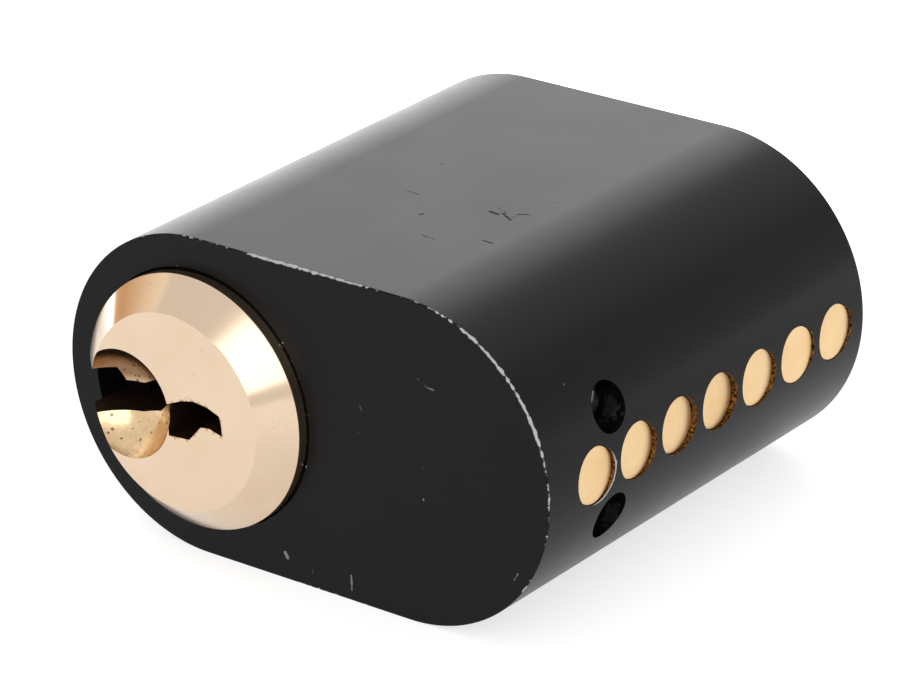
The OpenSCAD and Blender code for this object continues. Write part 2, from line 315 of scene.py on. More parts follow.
# pale rubs on the front face and scratches across the upper flat: from, to and half width, in mm
rubs = [
    ((19.5, 0, 6.5), (20.3, 0, 6.05), 0.07), ((20.3, 0, 6.05), (21.0, 0, 6.0), 0.08),
    ((14.2, 0, 1.1), (15.2, 0, 0.6), 0.04), ((14.4, 0, 3.2), (14.6, 0, 2.7), 0.07),
    ((27.5, 0, -6.5), (27.8, 0, -6.0), 0.1), ((13.2, 0, -10.3), (13.2, 0, -11.4), 0.12),
    ((7.2, 0, -10.2), (7.4, 0, -10.5), 0.2), ((9.7, 0, -10.7), (9.7, 0, -11.2), 0.05),
    ((19.8, 0, -2.5), (19.8, 0, -2.6), 0.09), ((19.8, 0, -0.1), (19.8, 0, -0.2), 0.06)
]
scratches = [
    ((6.6, 15.4, 12.25), (7.9, 15.3, 12.25), 0.09), ((5.4, 14.8, 12.25), (6.2, 14.7, 12.25), 0.06),
    ((12.9, 9.4, 12.25), (14.0, 9.3, 12.25), 0.1), ((14.0, 9.3, 12.25), (15.6, 10.3, 12.25), 0.05),
    ((16.8, 11.1, 12.25), (17.8, 11.0, 12.25), 0.12), ((14.1, 15.6, 12.25), (14.9, 15.5, 12.25), 0.2),
    ((14.1, 16.5, 12.25), (15.2, 16.0, 12.25), 0.1), ((15.1, 15.8, 12.25), (16.2, 15.2, 12.25), 0.16),
    ((16.1, 15.5, 12.25), (16.1, 16.3, 12.25), 0.1), ((16.1, 16.4, 12.25), (16.9, 16.7, 12.25), 0.1),
    ((16.7, 19.6, 12.25), (17.3, 19.6, 12.25), 0.08), ((10.4, 12.3, 12.25), (10.5, 12.6, 12.25), 0.14),
    ((9.0, 14.4, 12.25), (9.0, 14.5, 12.25), 0.1), ((5.8, 20.8, 12.25), (5.9, 20.9, 12.25), 0.1)
]


def marks(lines):
    # 1 on a mark, fading to 0 at its ragged edge
    nearest = None
    for start, end, half in lines:
        away = line_distance(tree, place, Vector(start) * mm, Vector(end) * mm)
        room = maths(tree, "SUBTRACT", half * mm, away)
        nearest = maths(tree, "MAXIMUM", nearest, room) if nearest else room
    ragged = maths(tree, "MULTIPLY_ADD", teeth, 0.3 * mm, -0.17 * mm)
    return between(tree, maths(tree, "ADD", nearest, ragged), 0.0, 0.09 * mm)


rubbed = maths(tree, "MULTIPLY", marks(rubs), 0.45)
scratched = maths(tree, "MULTIPLY", marks(scratches), 0.9)
bare = maths(tree, "MAXIMUM", maths(tree, "MAXIMUM", chip, speck), rubbed, use_clamp=True)

# clouding: handling marks 5 to 10 mm across
cloud = add(tree, "ShaderNodeTexNoise", {"Vector": place, "Scale": 1 / (7 * mm), "Detail": 5.0, "Roughness": 0.6})
coat_colour = add(
    tree, "ShaderNodeMix",
    {"Factor": cloud.outputs["Fac"], "A": srgb("#09090a"), "B": srgb("#0e0e10")}, data_type="RGBA"
)
shown_colour = add(
    tree, "ShaderNodeMix",
    {"Factor": bare, "A": coat_colour.outputs["Result"], "B": srgb("#a2a29f")}, data_type="RGBA"
)
gloss = between(tree, cloud.outputs["Fac"], 0.3, 0.7, 0.29, 0.34)
dulled = maths(tree, "MULTIPLY_ADD", maths(tree, "MAXIMUM", scratched, bare), 0.4, gloss)
grain = add(tree, "ShaderNodeTexNoise", {"Vector": place, "Scale": 1 / (0.25 * mm), "Detail": 2.0})
height = maths(tree, "SUBTRACT", maths(tree, "MULTIPLY", grain.outputs["Fac"], 0.12),
               maths(tree, "MAXIMUM", scratched, bare))
bump = add(tree, "ShaderNodeBump", {"Height": height, "Strength": 0.6, "Distance": 0.03 * mm})
tree.links.new(shown_colour.outputs["Result"], shader.inputs["Base Color"])
tree.links.new(dulled, shader.inputs["Roughness"])
tree.links.new(bump.outputs[0], shader.inputs["Normal"])
shader.inputs["IOR"].default_value = 1.21

# Pooled lacquer: where the coating ran into a drilled hole it lies thick, and shines like wet tar
pooled_coat, tree, shader = start_material("pooled_black_lacquer")
place = add(tree, "ShaderNodeTexCoord").outputs["Object"]
run_marks = add(tree, "ShaderNodeTexNoise", {"Vector": place, "Scale": 1 / (1.1 * mm), "Detail": 2.0})
bump = add(tree, "ShaderNodeBump", {"Height": run_marks.outputs["Fac"], "Strength": 0.8, "Distance": 0.25 * mm})
tree.links.new(bump.outputs[0], shader.inputs["Normal"])
shader.inputs["Base Color"].default_value = srgb("#0a0a0b")
shader.inputs["Roughness"].default_value = 0.1

# Bare brass left where the chambers and the tapped holes were drilled after coating, mottled with burrs; much of it
# is darkened almost to black as painted shade on the walls inside the mouths
shaded_drilled_brass, tree, shader = start_material("shaded_drilled_brass")
place = add(tree, "ShaderNodeTexCoord").outputs["Object"]
burr = add(tree, "ShaderNodeTexNoise", {"Vector": place, "Scale": 1 / (0.22 * mm), "Detail": 4.0, "Roughness": 0.7})
burr_share = between(tree, burr.outputs["Fac"], 0.42, 0.66)
brass_colour = add(
    tree, "ShaderNodeMix",
    {"Factor": burr_share, "A": srgb("#1a0f07"), "B": srgb("#9c7040")}, data_type="RGBA"
)
bump = add(tree, "ShaderNodeBump", {"Height": burr.outputs["Fac"], "Strength": 0.6, "Distance": 0.05 * mm})
tree.links.new(brass_colour.outputs["Result"], shader.inputs["Base Color"])
tree.links.new(bump.outputs[0], shader.inputs["Normal"])
shader.inputs["Metallic"].default_value = 1.0
shader.inputs["Roughness"].default_value = 0.38

# half of the oval: the right-hand round end, cut from a bar, then drawn out to the middle
bpy.ops.mesh.primitive_cylinder_add(
    vertices=160, radius=end_r, depth=body_d, location=(end_x, body_d / 2, 0),
    rotation=(math.pi / 2, 0, 0)
)
housing = placed("housing_body")
bpy.ops.object.mode_set(mode="EDIT")
bpy.ops.mesh.select_all(action="SELECT")
bpy.ops.mesh.bisect(plane_co=(end_x, 0, 0), plane_no=(1, 0, 0), clear_inner=True)
select_in_edit(housing, "EDGE", lambda e: e.is_boundary)
bpy.ops.mesh.extrude_region_move(TRANSFORM_OT_translate={"value": (-end_x / 2, 0, 0)})
bpy.ops.mesh.select_all(action="SELECT")
bpy.ops.mesh.duplicate()
bpy.ops.transform.resize(value=(-1, 1, 1), center_override=(end_x / 2, 0, 0))
bpy.ops.object.mode_set(mode="OBJECT")
tidy_normals(housing)
bpy.ops.object.mode_set(mode="EDIT")
bpy.ops.mesh.select_all(action="SELECT")
bpy.ops.mesh.dissolve_limited(angle_limit=math.radians(0.5))
select_in_edit(
    housing, "EDGE",
    lambda e: len({round(v.co.y / mm, 3) for v in e.verts}) == 1
)
bpy.ops.mesh.bevel(offset=edge_r, segments=4, affect="EDGES")
bpy.ops.object.mode_set(mode="OBJECT")
housing.data.materials.append(black_coat)

# bores: plug, its head's seat, and the recess for washer and ring behind
plug_low, plug_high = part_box("plug")
head_r = plug_high.z
shank_r = 7.5 * mm
seat_y = 2.6 * mm
washer_low, washer_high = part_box("thrust_washer")
recess_y = washer_low.y - 0.1 * mm
recess_r = washer_high.z + 0.3 * mm
spare = 1 * mm
cut_away(housing, turned(
    "bore",
    [(seat_r, -spare), (seat_r, seat_y), (shank_r + 0.05 * mm, seat_y),
     (shank_r + 0.05 * mm, recess_y), (recess_r, recess_y), (recess_r, body_d + spare)],
    (0, 1, 0), 128
))

# pin chambers, wider at their mouths for the brass plugs
pin_r = 1.5 * mm
hole_r = pin_r + 0.05 * mm
for i in range(1, chamber_count + 1):
    cap_low, cap_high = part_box(f"chamber_plug_{i}")
    pin_y = (cap_low.y + cap_high.y) / 2
    cut_away(housing, turned(
        "chamber",
        [(hole_r, shank_r / 2), (hole_r, cap_low.x), (mouth_r, cap_low.x), (mouth_r, body_high.x + spare)],
        (1, 0, 0), 64, (0, pin_y, 0)
    ), shaded_drilled_brass)

# side holes for the anti-drill pins, coated inside like the body
for side in ("upper", "lower"):
    guard_low, guard_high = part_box(f"anti_drill_pin_{side}")
    guard_r = (guard_high.y - guard_low.y) / 2
    cut_away(housing, turned(
        "guard_hole",
        [(guard_r + 0.02 * mm, guard_low.x), (guard_r + 0.02 * mm, body_high.x + spare)],
        (1, 0, 0), 64, (0, guard_low.y + guard_r, (guard_low.z + guard_high.z) / 2)
    ), pooled_coat)

# tapped holes for the two fixing screws, 12 mm deep
screws = next(m for m in frame["record"]["mounts"] if m["name"] == "fixing_screws")
screw_r = screws["dims"]["hole_r_mm"] * mm
screw_half = screws["dims"]["spacing_y_mm"] / 2 * mm
for side in (-1, 1):
    cut_away(housing, turned(
        "screw_hole",
        [(screw_r * 0.1, body_d - 13.2 * mm), (screw_r, body_d - 12 * mm), (screw_r, body_d - 0.5 * mm),
         (screw_r + 1.5 * mm, body_d + spare)],
        (0, 1, 0), 48, (screws["pos_m"][0], 0, side * screw_half)
    ), shaded_drilled_brass)
smooth(housing)
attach(housing, "housing")
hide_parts("housing")


# Plug. Turned from brass bar on a lathe: a bevelled head, a long shank and a hub behind. The keyway
# is broached through it, open on the side away from the pins, and a round cutter has scooped the
# mouth of the keyway so that a key finds its way in.

face_r = 7.5 * mm
rim_y = -0.95 * mm
hub_r = 6.2 * mm
ring_low, ring_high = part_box("retaining_ring")
groove_r = hub_r - 0.7 * mm
groove_gap = 0.025 * mm

# the keyway's outline in x and z, in mm
keyway = [
    (-11, 1.1), (-6.8, 1.1), (-6.4, 0), (-5, 0), (-3.6, 0.7), (-0.6, 0.5), (0.8, 1.1),
    (1.9, 1.35), (3.2, 1.2), (4.25, 0.8), (4.4, 0.2), (4.45, -0.7), (3.3, -0.4), (2.5, -0.5),
    (1.4, -1.75), (-0.5, -1.9), (-0.55, 0), (-1.7, -0.1), (-3.3, -1.65), (-5, -2.15), (-11, -2.5)
]

# Free-cutting brass, faced and turned: pale, faintly pink, with lathe lines too fine to see one by
# one that pull highlights out across the line of cut. The rings are drawn 0.12 mm apart.
turned_brass, tree, shader = start_material("turned_brass")
place = add(tree, "ShaderNodeTexCoord").outputs["Object"]
split = add(tree, "ShaderNodeSeparateXYZ", {"Vector": place})
flat_place = add(tree, "ShaderNodeCombineXYZ", {"X": split.outputs["X"], "Z": split.outputs["Z"]})
radius = add(tree, "ShaderNodeVectorMath", {0: flat_place.outputs[0]}, operation="LENGTH")
ring_place = add(tree, "ShaderNodeCombineXYZ", {"X": radius.outputs["Value"], "Y": split.outputs["Y"]})
lathe = add(
    tree, "ShaderNodeTexNoise",
    {"Vector": ring_place.outputs[0], "Scale": 1 / (0.12 * mm), "Detail": 2.0, "Roughness": 0.5}
)
stain = add(tree, "ShaderNodeTexNoise", {"Vector": place, "Scale": 1 / (3.5 * mm), "Detail": 4.0})
dirt = add(tree, "ShaderNodeTexNoise", {"Vector": place, "Scale": 1 / (0.45 * mm), "Detail": 3.0})
dirt_share = add(
    tree, "ShaderNodeMapRange",
    {"Value": dirt.outputs["Fac"], "From Min": 0.68, "From Max": 0.78, "To Min": 0.0, "To Max": 0.5}
)
# burrs and rubbed-in dirt round the keyway's edge on the face
burr_off = None
for (x0, z0), (x1, z1) in zip(keyway[5:], keyway[6:17]):
    away = line_distance(tree, flat_place.outputs[0], Vector((x0, 0, z0)) * mm, Vector((x1, 0, z1)) * mm)
    burr_off = maths(tree, "MINIMUM", burr_off, away) if burr_off else away
burr_reach = between(tree, dirt.outputs["Fac"], 0.45, 0.75, 0.0, 0.45 * mm)
burr_share = between(tree, maths(tree, "SUBTRACT", burr_reach, burr_off), 0.0, 0.12 * mm, 0.0, 0.7)
soiled = maths(tree, "MAXIMUM", dirt_share.outputs[0], burr_share)
clean_colour = add(
    tree, "ShaderNodeMix",
    {"Factor": stain.outputs["Fac"], "A": srgb("#d6bca0"), "B": srgb("#dec8b0")}, data_type="RGBA"
)
brass_colour = add(
    tree, "ShaderNodeMix",
    {"Factor": soiled, "A": clean_colour.outputs["Result"], "B": srgb("#a9805a")},
    data_type="RGBA"
)
bump = add(tree, "ShaderNodeBump", {"Height": lathe.outputs["Fac"], "Strength": 0.08, "Distance": 0.01 * mm})
lay = add(tree, "ShaderNodeTangent", direction_type="RADIAL", axis="Y")
tree.links.new(brass_colour.outputs["Result"], shader.inputs["Base Color"])
tree.links.new(bump.outputs[0], shader.inputs["Normal"])
tree.links.new(lay.outputs[0], shader.inputs["Tangent"])
shader.inputs["Metallic"].default_value = 1.0
shader.inputs["Roughness"].default_value = 0.17
shader.inputs["Anisotropic"].default_value = 0.8
shader.inputs["Anisotropic Rotation"].default_value = 0.25

# Scooped brass: milled, rougher than the face, with swarf and old grease caught in it
milled_brass, tree, shader = start_material("milled_brass")
place = add(tree, "ShaderNodeTexCoord").outputs["Object"]
chatter = add(tree, "ShaderNodeTexNoise", {"Vector": place, "Scale": 1 / (0.5 * mm), "Detail": 5.0, "Roughness": 0.7})
grease = add(tree, "ShaderNodeTexVoronoi", {"Vector": place, "Scale": 1 / (0.42 * mm)})
grease_pick = add(tree, "ShaderNodeSeparateColor", {"Color": grease.outputs["Color"]})
grease_size = add(
    tree, "ShaderNodeMapRange",
    {"Value": grease_pick.outputs["Green"], "From Min": 0.35, "From Max": 1.0, "To Min": 0.0, "To Max": 0.4}
)
grease_room = add(
    tree, "ShaderNodeMath", {0: grease_size.outputs[0], 1: grease.outputs["Distance"]}, operation="SUBTRACT"
)
grease_share = add(
    tree, "ShaderNodeMapRange",
    {"Value": grease_room.outputs[0], "From Min": 0.0, "From Max": 0.12, "To Min": 0.0, "To Max": 0.75}
)
clean_colour = add(
    tree, "ShaderNodeMix",
    {"Factor": chatter.outputs["Fac"], "A": srgb("#c99f6e"), "B": srgb("#f8dfb6")}, data_type="RGBA"
)
# painted shade: the upper side is darkened brown by height, standing in for the darker surroundings it reflects
split = add(tree, "ShaderNodeSeparateXYZ", {"Vector": place})
painted_upper_shade = between(tree, split.outputs["Z"], -0.6 * mm, 0.6 * mm, 0.0, 0.85)
upper_shaded_colour = add(
    tree, "ShaderNodeMix",
    {"Factor": painted_upper_shade, "A": clean_colour.outputs["Result"], "B": srgb("#6f4d3a")}, data_type="RGBA"
)
scoop_colour = add(
    tree, "ShaderNodeMix",
    {"Factor": grease_share.outputs[0], "A": upper_shaded_colour.outputs["Result"], "B": srgb("#4a3018")},
    data_type="RGBA"
)
bump = add(tree, "ShaderNodeBump", {"Height": chatter.outputs["Fac"], "Strength": 0.35, "Distance": 0.05 * mm})
tree.links.new(scoop_colour.outputs["Result"], shader.inputs["Base Color"])
tree.links.new(bump.outputs[0], shader.inputs["Normal"])
shader.inputs["Metallic"].default_value = 1.0
shader.inputs["Roughness"].default_value = 0.2

# Broached brass inside the keyway: dull, with graphite and grease, its colour darkened further as painted shade for
# the narrow slot
slot_shaded_brass, tree, shader = start_material("slot_shaded_brass")
place = add(tree, "ShaderNodeTexCoord").outputs["Object"]
drag = add(tree, "ShaderNodeMapping", {"Vector": place, "Scale": (1.0, 0.08, 1.0)})
score = add(tree, "ShaderNodeTexNoise", {"Vector": drag.outputs[0], "Scale": 1 / (0.15 * mm), "Detail": 4.0})
slot_shade_colour = add(
    tree, "ShaderNodeMix",
    {"Factor": score.outputs["Fac"], "A": srgb("#110905"), "B": srgb("#39220f")}, data_type="RGBA"
)
bump = add(tree, "ShaderNodeBump", {"Height": score.outputs["Fac"], "Strength": 0.4, "Distance": 0.03 * mm})
tree.links.new(slot_shade_colour.outputs["Result"], shader.inputs["Base Color"])
tree.links.new(bump.outputs[0], shader.inputs["Normal"])
shader.inputs["Metallic"].default_value = 0.6
shader.inputs["Roughness"].default_value = 0.5

plug = turned(
    "plug_body",
    [(face_r, plug_low.y), (head_r, rim_y), (head_r, 2.5 * mm), (shank_r, 2.5 * mm),
     (shank_r, washer_low.y - 0.05 * mm), (hub_r, washer_low.y - 0.05 * mm),
     (hub_r, ring_low.y - groove_gap), (groove_r, ring_low.y - groove_gap),
     (groove_r, ring_high.y + groove_gap), (hub_r, ring_high.y + groove_gap),
     (hub_r, plug_high.y - 0.3 * mm), (hub_r - 0.3 * mm, plug_high.y)],
    (0, 1, 0), 192
)
finish_with(plug, "BEVEL", width=0.05 * mm, segments=3, limit_method="ANGLE", angle_limit=math.radians(25))
plug.data.materials.append(turned_brass)

# scoop: part of a ball
scoop_r = 4.15 * mm
scoop_depth = 2.8 * mm
ball_r = (scoop_r ** 2 + scoop_depth ** 2) / (2 * scoop_depth)
bpy.ops.mesh.primitive_uv_sphere_add(
    segments=128, ring_count=64, radius=ball_r,
    location=(-4.58 * mm, plug_low.y + scoop_depth - ball_r, -0.5 * mm)
)
cut_away(plug, placed("scoop"), milled_brass)

# keyway: its outline walked round, filled and drawn out along the plug
last_low, last_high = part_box(f"key_pin_{chamber_count}")
keyway_end = last_high.y + 0.2 * mm
bpy.ops.mesh.primitive_plane_add(size=mm, location=(keyway[0][0] * mm, plug_low.y - spare, keyway[0][1] * mm))
key_cutter = placed("keyway")
bpy.ops.object.mode_set(mode="EDIT")
bpy.ops.mesh.select_mode(type="VERT")
bpy.ops.mesh.select_all(action="SELECT")
bpy.ops.mesh.merge(type="CENTER")
for (x0, z0), (x1, z1) in zip(keyway, keyway[1:]):
    bpy.ops.mesh.extrude_vertices_move(
        TRANSFORM_OT_translate={"value": ((x1 - x0) * mm, 0, (z1 - z0) * mm)}
    )
bpy.ops.mesh.select_all(action="SELECT")
bpy.ops.mesh.edge_face_add()
bpy.ops.mesh.extrude_region_move(
    TRANSFORM_OT_translate={"value": (0, keyway_end - plug_low.y + spare, 0)}
)
bpy.ops.object.mode_set(mode="OBJECT")
tidy_normals(key_cutter)
cut_away(plug, key_cutter, slot_shaded_brass)

# pin holes, from the keyway out to the shear line
for i in range(1, chamber_count + 1):
    pin_low, pin_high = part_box(f"key_pin_{i}")
    cut_away(plug, turned(
        "pin_hole", [(hole_r, 0.8 * mm), (hole_r, head_r)], (1, 0, 0), 48,
        (0, (pin_low.y + pin_high.y) / 2, 0)
    ), slot_shaded_brass)

# slot for the tailpiece and the cross hole for its pin
tail_low, tail_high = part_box("tailpiece")
tail_pin_low, tail_pin_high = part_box("tailpiece_pin")
bpy.ops.mesh.primitive_cube_add(
    size=1,
    location=(0, (tail_low.y + plug_high.y + spare) / 2, 0),
    scale=(tail_high.x - tail_low.x + 0.1 * mm, plug_high.y + spare - tail_low.y,
           tail_high.z - tail_low.z + 0.1 * mm)
)
cut_away(plug, placed("tail_slot"))
bpy.ops.mesh.primitive_cylinder_add(
    vertices=48, radius=tail_pin_high.x + 0.01 * mm, depth=3 * hub_r,
    location=(0, (tail_pin_low.y + tail_pin_high.y) / 2, 0)
)
cut_away(plug, placed("cross_hole"))
smooth(plug)
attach(plug, "plug")
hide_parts("plug")


# Chamber plugs. Short brass rods pressed into the mouths of the chambers once the pins and springs
# are in, and left just below the surface. Their ends are sawn and tumbled, so they look matt.

cap_brass, tree, shader = start_material("tumbled_brass")
place = add(tree, "ShaderNodeTexCoord").outputs["Object"]
cloud = add(tree, "ShaderNodeTexNoise", {"Vector": place, "Scale": 1 / (2.6 * mm), "Detail": 3.0})
tooling = add(tree, "ShaderNodeTexNoise", {"Vector": place, "Scale": 1 / (0.2 * mm), "Detail": 3.0})
cap_colour = add(
    tree, "ShaderNodeMix",
    {"Factor": cloud.outputs["Fac"], "A": srgb("#dab57f"), "B": srgb("#ecd0a4")}, data_type="RGBA"
)
bump = add(tree, "ShaderNodeBump", {"Height": tooling.outputs["Fac"], "Strength": 0.2, "Distance": 0.02 * mm})
tree.links.new(cap_colour.outputs["Result"], shader.inputs["Base Color"])
tree.links.new(bump.outputs[0], shader.inputs["Normal"])
shader.inputs["Metallic"].default_value = 1.0
shader.inputs["Roughness"].default_value = 0.42

for i in range(1, chamber_count + 1):
    low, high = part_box(f"chamber_plug_{i}")
    cap_r = high.z
    cap = turned(
        f"chamber_cap_{i}", [(cap_r, low.x), (cap_r, high.x)], (1, 0, 0), 64,
        (0, (low.y + high.y) / 2, 0)
    )
    finish_with(cap, "BEVEL", width=0.07 * mm, segments=3, limit_method="ANGLE")
    cap.data.materials.append(cap_brass)
    smooth(cap)
    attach(cap, "housing")
    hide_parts(f"chamber_plug_{i}")


# Anti-drill pins. Hardened steel rods driven into blind holes beside the first chambers, well below
# the surface. They are dark from hardening, with domed ends that catch a little light.

hardened_steel, tree, shader = start_material("hardened_steel")
place = add(tree, "ShaderNodeTexCoord").outputs["Object"]
scale_marks = add(tree, "ShaderNodeTexNoise", {"Vector": place, "Scale": 1 / (0.8 * mm), "Detail": 4.0})
steel_colour = add(
    tree, "ShaderNodeMix",
    {"Factor": scale_marks.outputs["Fac"], "A": srgb("#3a3a3f"), "B": srgb("#77777e")}, data_type="RGBA"
)
tree.links.new(steel_colour.outputs["Result"], shader.inputs["Base Color"])
shader.inputs["Metallic"].default_value = 1.0
shader.inputs["Roughness"].default_value = 0.14

for side in ("upper", "lower"):
    low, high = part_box(f"anti_drill_pin_{side}")
    guard_r = (high.y - low.y) / 2
    guard = turned(
        f"anti_drill_rod_{side}",
        [(guard_r - 0.4 * mm, low.x), (guard_r, low.x + 0.4 * mm), (guard_r, high.x - 0.7 * mm),
         (guard_r - 0.35 * mm, high.x - 0.35 * mm), (guard_r - 1.0 * mm, high.x - 0.05 * mm),
         (0.2 * mm, high.x)],
        (1, 0, 0), 48, (0, low.y + guard_r, (low.z + high.z) / 2)
    )
    finish_with(guard, "BEVEL", width=0.15 * mm, segments=3, limit_method="ANGLE", angle_limit=math.radians(15))
    guard.data.materials.append(hardened_steel)
    smooth(guard)
    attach(guard, "housing")
    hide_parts(f"anti_drill_pin_{side}")


# Key pins. Turned brass rods, one to each stack and each cut to its own length: a point that rides
# in the key's cut and a crowned end that meets the driver pin at the shear line.

# Turned rod brass: bright, with faint rings round it from the parting tool
rod_brass, tree, shader = start_material("turned_rod_brass")
place = add(tree, "ShaderNodeTexCoord").outputs["Object"]
squeezed = add(tree, "ShaderNodeMapping", {"Vector": place, "Scale": (1.0, 0.1, 0.1)})
rings = add(tree, "ShaderNodeTexNoise", {"Vector": squeezed.outputs[0], "Scale": 1 / (0.12 * mm), "Detail": 2.0})
rod_colour = add(
    tree, "ShaderNodeMix",
    {"Factor": rings.outputs["Fac"], "A": srgb("#c99c58"), "B": srgb("#e7c488")}, data_type="RGBA"
)
bump = add(tree, "ShaderNodeBump", {"Height": rings.outputs["Fac"], "Strength": 0.2, "Distance": 0.02 * mm})
tree.links.new(rod_colour.outputs["Result"], shader.inputs["Base Color"])
tree.links.new(bump.outputs[0], shader.inputs["Normal"])
shader.inputs["Metallic"].default_value = 1.0
shader.inputs["Roughness"].default_value = 0.25

for i in range(1, chamber_count + 1):
    low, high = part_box(f"key_pin_{i}")
    key_pin = turned(
        f"key_pin_rod_{i}",
        [(0.7 * mm, low.x), (pin_r, low.x + 0.7 * mm), (pin_r, high.x - 0.3 * mm), (0.8 * mm, high.x)],
        (1, 0, 0), 48, (0, (low.y + high.y) / 2, 0)
    )
    finish_with(key_pin, "BEVEL", width=0.12 * mm, segments=3, limit_method="ANGLE", angle_limit=math.radians(20))
    key_pin.data.materials.append(rod_brass)
    smooth(key_pin)
    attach(key_pin, f"key_pin_{i}")
    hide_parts(f"key_pin_{i}")


# Driver pins. Nickel silver rods pushed against the key pins by the springs. Every other one is
# turned down to a spool, so that it catches at the shear line if the lock is picked.

# Nickel silver: greyer and harder than brass, turned bright
nickel_silver, tree, shader = start_material("nickel_silver")
place = add(tree, "ShaderNodeTexCoord").outputs["Object"]
squeezed = add(tree, "ShaderNodeMapping", {"Vector": place, "Scale": (1.0, 0.1, 0.1)})
rings = add(tree, "ShaderNodeTexNoise", {"Vector": squeezed.outputs[0], "Scale": 1 / (0.12 * mm), "Detail": 2.0})
silver_colour = add(
    tree, "ShaderNodeMix",
    {"Factor": rings.outputs["Fac"], "A": srgb("#b3b0a8"), "B": srgb("#d6d3cc")}, data_type="RGBA"
)
bump = add(tree, "ShaderNodeBump", {"Height": rings.outputs["Fac"], "Strength": 0.2, "Distance": 0.02 * mm})
tree.links.new(silver_colour.outputs["Result"], shader.inputs["Base Color"])
tree.links.new(bump.outputs[0], shader.inputs["Normal"])
shader.inputs["Metallic"].default_value = 1.0
shader.inputs["Roughness"].default_value = 0.22

spool_end = 1.2 * mm
waist_r = pin_r - 0.45 * mm
for i in range(1, chamber_count + 1):
    low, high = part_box(f"driver_pin_{i}")
    outline = [(0.8 * mm, low.x), (pin_r, low.x + 0.3 * mm)]
    if i % 2 == 0:
        outline += [
            (pin_r, low.x + spool_end), (waist_r, low.x + spool_end + pin_r - waist_r),
            (waist_r, high.x - spool_end - pin_r + waist_r), (pin_r, high.x - spool_end)
        ]
    outline += [(pin_r, high.x - 0.3 * mm), (0.8 * mm, high.x)]
    driver = turned(
        f"driver_pin_rod_{i}", outline, (1, 0, 0), 48, (0, (low.y + high.y) / 2, 0)
    )
    finish_with(driver, "BEVEL", width=0.1 * mm, segments=3, limit_method="ANGLE", angle_limit=math.radians(20))
    driver.data.materials.append(nickel_silver)
    smooth(driver)
    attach(driver, f"driver_{i}")
    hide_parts(f"driver_pin_{i}")


# Springs. Fine spring wire, wound with closed ends, one behind each driver pin. The CAD's wire has
# six flat sides, so each is rounded here along its own path.

# Drawn spring wire: bright grey, with drawing lines along it
spring_wire, tree, shader = start_material("drawn_spring_wire")
place = add(tree, "ShaderNodeTexCoord").outputs["Object"]
drawn = add(tree, "ShaderNodeTexNoise", {"Vector": place, "Scale": 1 / (0.2 * mm), "Detail": 3.0})
wire_colour = add(
    tree, "ShaderNodeMix",
    {"Factor": drawn.outputs["Fac"], "A": srgb("#8f929a"), "B": srgb("#c4c7cd")}, data_type="RGBA"
)
tree.links.new(wire_colour.outputs["Result"], shader.inputs["Base Color"])
shader.inputs["Metallic"].default_value = 1.0
shader.inputs["Roughness"].default_value = 0.3


def copied(node, name):
    # a copy of a CAD node's shape, sewn together
    piece = bpy.data.objects.new(name, frame["nodes"][node].data.copy())
    piece.data.name = name
    bpy.context.scene.collection.objects.link(piece)
    piece.data.materials.clear()
    tidy_normals(piece)
    return piece


for i in range(1, chamber_count + 1):
    spring = copied(f"spring_{i}", f"coil_spring_{i}")
    bpy.ops.object.mode_set(mode="EDIT")
    bpy.ops.mesh.select_all(action="SELECT")
    bpy.ops.mesh.tris_convert_to_quads()
    bpy.ops.object.mode_set(mode="OBJECT")
    finish_with(spring, "SUBSURF", levels=1, render_levels=1)
    spring.data.materials.append(spring_wire)
    pick_only(spring)
    bpy.ops.object.shade_smooth_by_angle(angle=math.radians(60))
    low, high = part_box(f"spring_{i}")
    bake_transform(spring)
    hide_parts(f"spring_{i}")


# Thrust washer. Stamped from brass sheet: it fills the recess behind the housing and takes the rub
# of the retaining ring.

# Stamped brass: rolled sheet, warmer and duller than the plug, rubbed round by the ring
sheet_brass, tree, shader = start_material("stamped_brass_sheet")
place = add(tree, "ShaderNodeTexCoord").outputs["Object"]
split = add(tree, "ShaderNodeSeparateXYZ", {"Vector": place})
flat_place = add(tree, "ShaderNodeCombineXYZ", {"X": split.outputs["X"], "Z": split.outputs["Z"]})
radius = add(tree, "ShaderNodeVectorMath", {0: flat_place.outputs[0]}, operation="LENGTH")
ring_place = add(tree, "ShaderNodeCombineXYZ", {"X": radius.outputs["Value"]})
rub = add(tree, "ShaderNodeTexNoise", {"Vector": ring_place.outputs[0], "Scale": 1 / (0.3 * mm), "Detail": 3.0})
tarnish = add(tree, "ShaderNodeTexNoise", {"Vector": place, "Scale": 1 / (3 * mm), "Detail": 4.0})
sheet_colour = add(
    tree, "ShaderNodeMix",
    {"Factor": tarnish.outputs["Fac"], "A": srgb("#a97d42"), "B": srgb("#dfb877")}, data_type="RGBA"
)
sheet_gloss = between(tree, rub.outputs["Fac"], 0.3, 0.7, 0.25, 0.45)
tree.links.new(sheet_colour.outputs["Result"], shader.inputs["Base Color"])
tree.links.new(sheet_gloss, shader.inputs["Roughness"])
shader.inputs["Metallic"].default_value = 1.0

washer = turned(
    "washer", [(washer_high.z, washer_low.y), (washer_high.z, washer_high.y)], (0, 1, 0), 128
)
washer.data.materials.append(sheet_brass)
cut_away(washer, turned(
    "washer_bore",
    [(hub_r + 0.05 * mm, washer_low.y - spare), (hub_r + 0.05 * mm, washer_high.y + spare)],
    (0, 1, 0), 128
))
finish_with(washer, "BEVEL", width=0.06 * mm, segments=2, limit_method="ANGLE")
smooth(washer)
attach(washer, "plug")
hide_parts("thrust_washer")


# Retaining ring. Blanked from spring steel sheet, with two eyed lugs for ring pliers, and sprung
# into the hub's groove. It keeps the plug in the housing.

